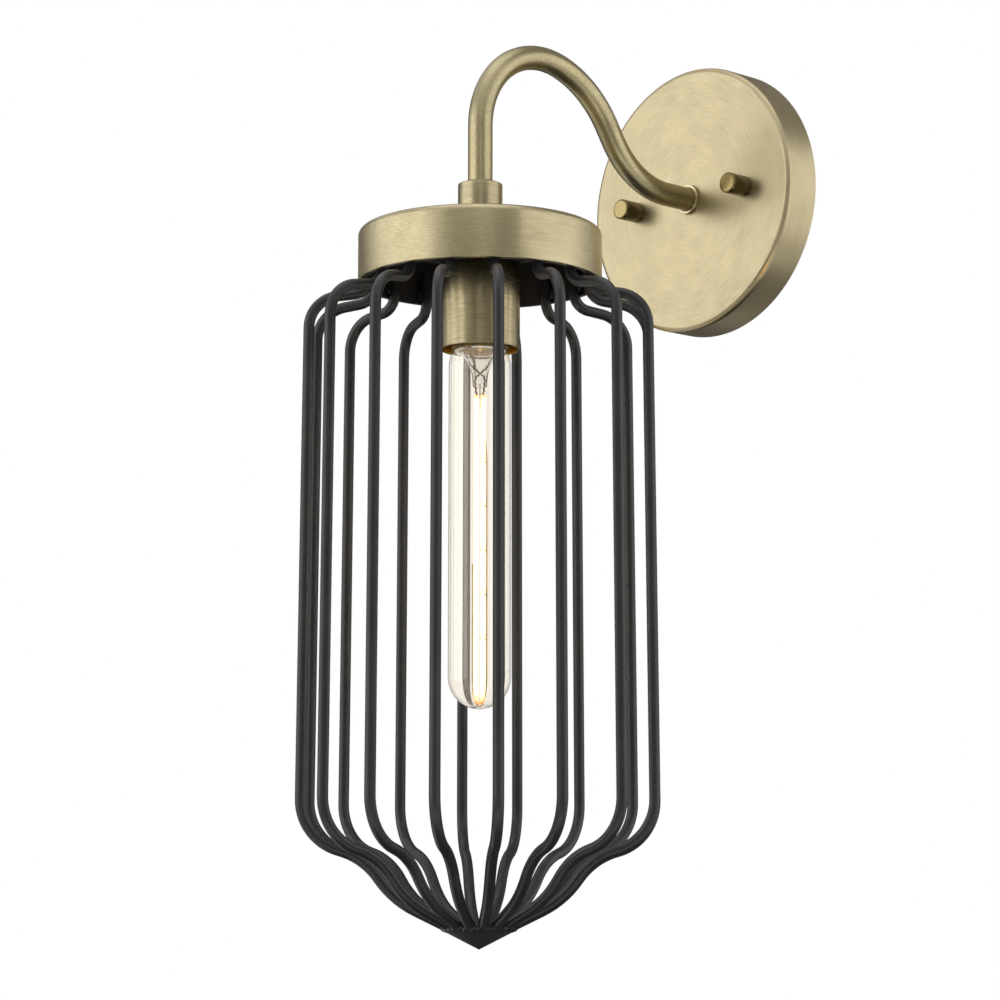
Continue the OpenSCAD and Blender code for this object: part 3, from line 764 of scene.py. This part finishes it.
# %% Support wire with its rings
aside, support_wire = mm(3.1), mm(0.5)
ring_radius, top_ring, ring_gap = mm(1.35), mm(-139.8), mm(19.5)
dome_rise, way_up = mm(12), mm(62)
support_low = glass_bottom + mm(0.8) + support_wire / 2
route = [
    in_bulb(0, 0, stem_bottom + mm(4)), in_bulb(0, -mm(1.6), stem_bottom - mm(4)),
    in_bulb(mm(1.4), -mm(1.6), stem_bottom - mm(13)), in_bulb(aside, 0, stem_bottom - mm(27)),
]
for k in range(17):
    around = math.pi * k / 16
    route.append(in_bulb(
        aside * math.cos(around), 0, support_low + dome_rise * (1 - math.sin(around))
    ))
route.append(in_bulb(-aside, 0, support_low + way_up))
support = drawn_wire(rounded_path(route, mm(5)), support_wire)
rings = []
for step in range(5):
    bpy.ops.object.select_all(action="DESELECT")
    bpy.ops.mesh.primitive_torus_add(
        location=in_bulb(aside - ring_radius, 0, top_ring - step * ring_gap),
        rotation=(math.radians(62), 0, facing),
        major_radius=ring_radius, minor_radius=mm(0.2), major_segments=24, minor_segments=8,
    )
    rings.append(bpy.context.object)
pick(support, *rings)
bpy.ops.object.join()
settle(support, "filament_support", heat_wire, "bulb", ["bulb_support"])

# %% [markdown]
# ### The glass stem
# The bulb is sealed with a stem: a glass flare that joins the neck, pinched flat at its end round
# the wires. It is turned from a ring of points that is pulled down and scaled step by step along
# the outside of the funnel. The pinch is then squeezed, and a solidify modifier gives the glass its
# wall.

# %% Stem
stem_outer = (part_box("bulb_stem")[1].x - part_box("bulb_stem")[0].x) / 2
stem_wall = mm(0.8)
pinch_top, pinch_bottom = stem_bottom + mm(7.4), stem_bottom + mm(2.4)
flare = [
    (stem_outer, -0.6), (mm(10.4), -1.2), (mm(8.2), -2.3), (mm(6.5), -3.9), (mm(5.3), -6.0),
    (mm(4.3), -8.5), (mm(3.6), -10.4),
]
stem_profile = [(across, stem_top + mm(down)) for across, down in flare] + [
    (mm(3.3), pinch_top - mm(1)), (mm(3.3), pinch_bottom + mm(0.6)), (mm(2.8), pinch_bottom),
]


def turned_funnel(start_radius, start_height, profile, sides=48):
    """A funnel turned round the lamp's axis through radii and heights, closed at its end."""
    bpy.ops.object.select_all(action="DESELECT")
    bpy.ops.mesh.primitive_circle_add(
        vertices=sides, radius=start_radius, location=(0, lamp_y, start_height),
        fill_type="NOTHING",
    )
    made = bpy.context.object
    bpy.ops.object.mode_set(mode="EDIT")
    bpy.ops.mesh.select_all(action="SELECT")
    radius, height = start_radius, start_height
    for next_radius, next_height in profile:
        bpy.ops.mesh.extrude_region_move(
            TRANSFORM_OT_translate={"value": (0, 0, next_height - height)}
        )
        grow = next_radius / radius
        bpy.ops.transform.resize(
            value=(grow, grow, 1), center_override=(0, lamp_y, next_height)
        )
        radius, height = next_radius, next_height
    bpy.ops.mesh.edge_face_add()
    bpy.ops.mesh.select_all(action="SELECT")
    bpy.ops.mesh.normals_make_consistent(inside=False)
    bpy.ops.object.mode_set(mode="OBJECT")
    return made


stem_piece = turned_funnel(stem_outer, stem_top, stem_profile)
print("stem turned,", len(stem_piece.data.vertices), "points")

# %% [markdown]
# The pinch is flat: 6.6 mm wide and 2.5 mm thick. Only the points below the flare are squeezed,
# more toward the end, across the plane in which the filament hangs.

# %% Pinch the stem and close it
squeeze_from, squeeze_over, squeeze_share = pinch_top + mm(4), mm(4.5), 0.62
for point in stem_piece.data.vertices:
    place = stem_piece.matrix_world @ point.co
    if place.z < squeeze_from:
        depth = (place - Vector((0, lamp_y, place.z))).dot(toward)
        share = min(1.0, (squeeze_from - place.z) / squeeze_over)
        point.co -= toward * depth * squeeze_share * share
wall = stem_piece.modifiers.new("wall", "SOLIDIFY")
wall.thickness = stem_wall
wall.offset = -1
pick(stem_piece)
bpy.ops.object.modifier_apply(modifier="wall")
smooth = stem_piece.modifiers.new("smooth", "SUBSURF")
smooth.levels = smooth.render_levels = 1
bpy.ops.object.modifier_apply(modifier="smooth")
settle(stem_piece, "glass_stem", stem_clear, "bulb", ["bulb_stem"])

# %% [markdown]
# Two lead wires come down through the flare, cross one in front of the other, and leave the pinch
# where the coil hangs from them. Their core is dark oxidised wire, and a golden wire is wound round
# each one, which gives the leads their dark and golden specks. It is wound as the filament is.

# %% Lead wires of the bulb
lead_wire, wrap_radius, wrap_pitch, wrap_thick = mm(0.6), mm(0.5), mm(2.2), mm(0.5)
leads, wraps = [], []
for side in (-1, 1):
    path = rounded_path([
        in_bulb(side * mm(7.2), -side * mm(0.9), stem_top + mm(1.0)),
        in_bulb(side * mm(4.6), -side * mm(0.9), stem_top - mm(6.0)),
        in_bulb(-side * mm(2.3), -side * mm(0.5), pinch_top - mm(0.6)),
        in_bulb(-side * mm(2.0), -side * mm(0.3), pinch_bottom),
        in_bulb(-side * coil_half, 0, coil_top + mm(0.6)),
        in_bulb(-side * coil_half, 0, coil_top - mm(1.4)),
    ], mm(2.0))
    leads.append(drawn_wire(path, lead_wire))
    reach = sum((there - here).length for here, there in zip(path, path[1:]))
    wraps.append(wound_along(path, reach, wrap_radius, wrap_pitch, wrap_thick))
for wires, name, finish in (
    (leads, "bulb_lead_wires", dark_wire), (wraps, "bulb_lead_wraps", wrap_wire),
):
    pick(*wires)
    bpy.ops.object.join()
    settle(bpy.context.object, name, finish, "bulb")

# %% [markdown]
# The neck is set in its brass base with a golden-brown cement. It closes the glass above the flare,
# and from below it is the mottled gold that shows at the sleeve's mouth.

# %% Cement in the base
bpy.ops.object.select_all(action="DESELECT")
bpy.ops.mesh.primitive_cylinder_add(
    vertices=48, radius=stem_outer - mm(0.6), depth=mm(1.6),
    location=(0, lamp_y, stem_top + mm(1.1)),
)
cement = settle(bpy.context.object, "base_cement", cement_finish, "bulb")

# %% [markdown]
# ## Weld beads
# Every bar is welded to the pan at its top and to the tip at its foot. A bead is a small lump of
# cooled steel under the same powder coat. One lump is shaped from a ball, squashed and roughened
# with a displace modifier, and then copied round the lamp. A smooth ball would look like a pearl,
# and a bump in the finish would vanish from the side, so the roughness is in the mesh.

# %% One weld lump
def weld_lump(length, width, height, seed):
    """A lump of weld, long in X, that lies in the origin. Its seed is where it meets the grain."""
    bpy.ops.object.select_all(action="DESELECT")
    bpy.ops.mesh.primitive_ico_sphere_add(subdivisions=3, radius=0.5, location=(0, 0, 0))
    lump = bpy.context.object
    lump.scale = (length, width, height)
    bpy.ops.object.transform_apply(location=False, rotation=False, scale=True)
    grain = bpy.data.textures.new("weld_grain", "CLOUDS")
    grain.noise_scale = mm(1.1)
    rough = lump.modifiers.new("rough", "DISPLACE")
    rough.texture = grain
    rough.texture_coords = "GLOBAL"
    rough.strength = mm(0.9)
    lump.location = (seed * mm(7), 0, 0)
    bpy.context.view_layer.update()
    bpy.ops.object.modifier_apply(modifier="rough")
    lump.location = (0, 0, 0)
    return lump


def set_round(lumps, name, radius, height, tilt, azimuths):
    """Copies lumps round the lamp's axis at a radius and height, tilted and turned, and joins
    them."""
    copies = []
    for k, azimuth in enumerate(azimuths):
        copy = lumps[k % len(lumps)].copy()
        copy.data = copy.data.copy()
        bpy.context.scene.collection.objects.link(copy)
        angle = math.radians(azimuth - 90)
        outward = Vector((math.cos(angle), math.sin(angle), 0))
        copy.matrix_world = (
            Matrix.Translation(Vector((0, lamp_y, height)) + outward * radius)
            @ Matrix.Rotation(angle, 4, "Z")
            @ Matrix.Rotation(tilt, 4, "Y")
        )
        copies.append(copy)
    pick(*copies)
    bpy.ops.object.join()
    return settle(bpy.context.object, name, weld_coat, "fixture")


# %% [markdown]
# The first bar stands 10.2 degrees to the right of the front, as in the construction model, and the
# rest follow evenly round the pan and the tip. Each bar has a bead on either side at the pan. At
# the tip, two beads lie in the gap between a bar and the next one.

# %% Beads at the pan and at the tip
bar_turn, pan_wall, from_bar = 10.2, mm(1.5), mm(2.6)
azimuths = [bar_turn + k * 360 / len(bars) for k in range(len(bars))]
pan_inner = (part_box("cage_pan")[1].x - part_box("cage_pan")[0].x) / 2 - pan_wall
pan_lumps = [weld_lump(mm(6.5), mm(2.6), mm(2.6), seed) for seed in (1, 2, 3)]
beside = math.degrees(from_bar / pan_inner)
set_round(
    pan_lumps, "pan_welds", radius=pan_inner - mm(0.9), height=pan_mouth + mm(4.6),
    tilt=math.radians(90), azimuths=[a + side * beside for a in azimuths for side in (-1, 1)],
)
tip_lumps = [weld_lump(mm(4.4), mm(4.2), mm(2.4), seed) for seed in (4, 5, 6)]
set_round(
    tip_lumps, "tip_welds", radius=mm(14.9), height=tip_low + mm(8.7), tilt=math.radians(-27),
    azimuths=[a + part * 360 / len(bars) for a in azimuths for part in (0.28, 0.72)],
)
for lump in pan_lumps + tip_lumps:
    bpy.data.objects.remove(lump)
print("welds set at", len(bars), "bars")

# %% [markdown]
# ## Floor, light and background
# The light hangs in a plain pale room of soft light. The floor lies well below the lamp. The world
# lights the object at a moderate level and shows as white to the camera, in mirrors and through
# glass, so the background is white without a single lamp being turned up for it. The floor is
# lifted in the same way, and to the camera a little more, so that no horizon shows.

# %% Floor
floor_glow, glow_for_camera = 0.45, 0.13
bpy.ops.object.select_all(action="DESELECT")
bpy.ops.mesh.primitive_plane_add(size=60.0, location=(0, 0, mm(-1600)))
floor = bpy.context.object
floor.name = "floor"
floor_paint, floor_tree, floor_shader = new_finish(
    "matt_floor_paint", Base_Color=colour("#dcdad6"), Roughness=0.8,
    Emission_Color=colour("#fffefc"),
)
floor_ray = add_node(floor_tree, "ShaderNodeLightPath")
floor_seen = add_node(
    floor_tree, "ShaderNodeMath", {"operation": "MAXIMUM"},
    {0: floor_ray.outputs["Is Camera Ray"], 1: floor_ray.outputs["Is Transmission Ray"]},
)
floor_seen_too = add_node(
    floor_tree, "ShaderNodeMath", {"operation": "MAXIMUM"},
    {0: floor_seen.outputs[0], 1: floor_ray.outputs["Is Glossy Ray"]},
)
floor_lift = add_node(
    floor_tree, "ShaderNodeMath", {"operation": "MULTIPLY"},
    {0: floor_seen_too.outputs[0], 1: floor_glow},
)
floor_white = add_node(
    floor_tree, "ShaderNodeMath", {"operation": "MULTIPLY_ADD"},
    {0: floor_ray.outputs["Is Camera Ray"], 1: glow_for_camera, 2: floor_lift.outputs[0]},
)
floor_tree.links.new(floor_white.outputs[0], floor_shader.inputs["Emission Strength"])
floor.data.materials.append(floor_paint)

# %% World
world = bpy.data.worlds.new("soft_room")
bpy.context.scene.world = world
world.use_nodes = True
air = world.node_tree
soft = air.nodes["Background"]
soft.inputs["Color"].default_value = (1, 1, 1, 1)
soft.inputs["Strength"].default_value = 0.55
white = add_node(air, "ShaderNodeBackground", None, {"Color": (1, 1, 1, 1), "Strength": 1.0})
ray = add_node(air, "ShaderNodeLightPath")
seen = add_node(
    air, "ShaderNodeMath", {"operation": "MAXIMUM"},
    {0: ray.outputs["Is Camera Ray"], 1: ray.outputs["Is Glossy Ray"]},
)
seen_too = add_node(
    air, "ShaderNodeMath", {"operation": "MAXIMUM"},
    {0: seen.outputs[0], 1: ray.outputs["Is Transmission Ray"]},
)
blend = add_node(
    air, "ShaderNodeMixShader", None,
    {0: seen_too.outputs[0], 1: soft.outputs[0], 2: white.outputs[0]},
)
air.links.new(blend.outputs[0], air.nodes["World Output"].inputs["Surface"])


# %% [markdown]
# Four soft boxes light the object. A large one at the left is the key, a large one at the right
# fills, and one above lights the top of the cap. A narrow one, low in front, draws the thin line of
# light along the cap's lower edge.

# %% Lamps
def soft_box(name, where, target, size, power):
    """A rectangular studio lamp that faces a target. Sizes in metres, power in watts."""
    lamp = bpy.data.objects.new(name, bpy.data.lights.new(name, "AREA"))
    bpy.context.scene.collection.objects.link(lamp)
    lamp.data.shape = "RECTANGLE"
    lamp.data.size, lamp.data.size_y = size
    lamp.data.energy = power
    lamp.location = where
    lamp.rotation_euler = (Vector(target) - Vector(where)).to_track_quat("-Z", "Y").to_euler()
    return lamp


middle = Vector((0, mm(-130), mm(-150)))


def seen_from(azimuth, elevation, distance):
    """A place round the lamp, by azimuth and elevation in degrees and distance in metres."""
    flat, up_by = math.radians(azimuth), math.radians(elevation)
    return middle + distance * Vector((
        math.cos(up_by) * math.sin(flat), -math.cos(up_by) * math.cos(flat), math.sin(up_by)
    ))


soft_box("key_left", seen_from(-27, 12, 1.9), middle, size=(2.15, 1.5), power=12)
soft_box("fill_right", seen_from(122, 10, 1.8), middle, size=(2.0, 1.8), power=8.2)
soft_box("top", seen_from(20, 80, 1.6), middle, size=(1.4, 1.2), power=4)
soft_box("low_front", seen_from(44, -42, 1.5), middle, size=(1.5, 0.35), power=1.6)
print("four soft boxes set")

# %% [markdown]
# The glowing coil is far too thin for the renderer to find as a source of light, and glass blocks
# the rays that look for one. So five small warm lamps hang along the filament and light the bars,
# the cement and the inside of the sleeve. Their shadows ignore the two pieces of glass. The first
# one is the strongest, because it stands for all the light that the sleeve gathers.

# %% Light of the filament
def link_group(name, members, state):
    """A collection that a lamp's light or shadow is limited to, or that is left out of it."""
    group = bpy.data.collections.new(name)
    for member in members:
        group.objects.link(member)
    for entry in group.collection_objects:
        entry.light_linking.link_state = state
    return group


lit_parts = [soft_sleeve, cement] + [
    solid for name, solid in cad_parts.items()
    if name.startswith(("cage_", "lampholder_", "bulb_base"))
]
takes_light = link_group("takes_filament_light", lit_parts, "INCLUDE")
bulb_shell = [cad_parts["bulb_glass"], stem_piece]
lets_through = link_group("lets_filament_light_through", bulb_shell, "EXCLUDE")
highest_ember, ember_gap = coil_top - mm(8), mm(29)
first_power, ember_power = 0.05, 0.02
for step in range(5):
    ember = bpy.data.objects.new("filament_light", bpy.data.lights.new("filament_light", "POINT"))
    bpy.context.scene.collection.objects.link(ember)
    ember.location = in_bulb(0, 0, highest_ember - step * ember_gap)
    ember.data.color = colour("#ffb469")[:3]
    ember.data.energy = first_power if step == 0 else ember_power
    ember.data.shadow_soft_size = mm(3)
    ember.visible_camera = ember.visible_transmission = ember.visible_glossy = False
    ember.light_linking.receiver_collection = takes_light
    ember.light_linking.blocker_collection = lets_through
print("five lamps along the filament")

# %% [markdown]
# Metal in an all-white room looks like chalk, because what shows in it is white from every side. A
# photographer stands grey cards round the lamp for that reason. They show in the brass and on the
# black bars as the darker bands that give them their roundness. They are hidden from the camera and
# from the glass, and throw no shadow. Seen in the upright cap, a card's azimuth decides where its
# band falls, and a card's grey decides how dark the band is.

# %% Grey cards
def grey_card(name, azimuth, elevation, distance, size, paint):
    """A grey card that faces the lamp from an azimuth and elevation in degrees."""
    where = seen_from(azimuth, elevation, distance)
    bpy.ops.object.select_all(action="DESELECT")
    bpy.ops.mesh.primitive_plane_add(size=1.0, location=where)
    card = bpy.context.object
    card.name = name
    card.scale = (*size, 1)
    card.rotation_euler = (where - middle).to_track_quat("Z", "Y").to_euler()
    card_paint, _, _ = new_finish(name + "_paint", Base_Color=colour(paint), Roughness=0.9)
    card.data.materials.append(card_paint)
    card.visible_camera = card.visible_diffuse = False
    card.visible_transmission = card.visible_shadow = False
    return card


grey_card("card_far_left", -98, 5, 1.9, (1.6, 2.2), "#9a9791")
grey_card("card_left_of_camera", 29, -2, 1.9, (1.15, 2.2), "#dddad3")
grey_card("card_right_of_camera", 72, -2, 1.9, (0.90, 2.2), "#bab7b0")
grey_card("card_behind", 208, 15, 1.6, (2.2, 3.0), "#716f6b")
grey_card("card_high_behind", 176, 56, 1.6, (2.0, 1.0), "#c8c5be")
grey_card("card_low_behind", 196, -56, 0.9, (1.5, 0.8), "#4c4a46")
grey_card("card_below", 50, -88, 0.75, (0.8, 0.8), "#4c4a46")
print("seven cards set")

bpy.context.scene.view_settings.view_transform = "Standard"
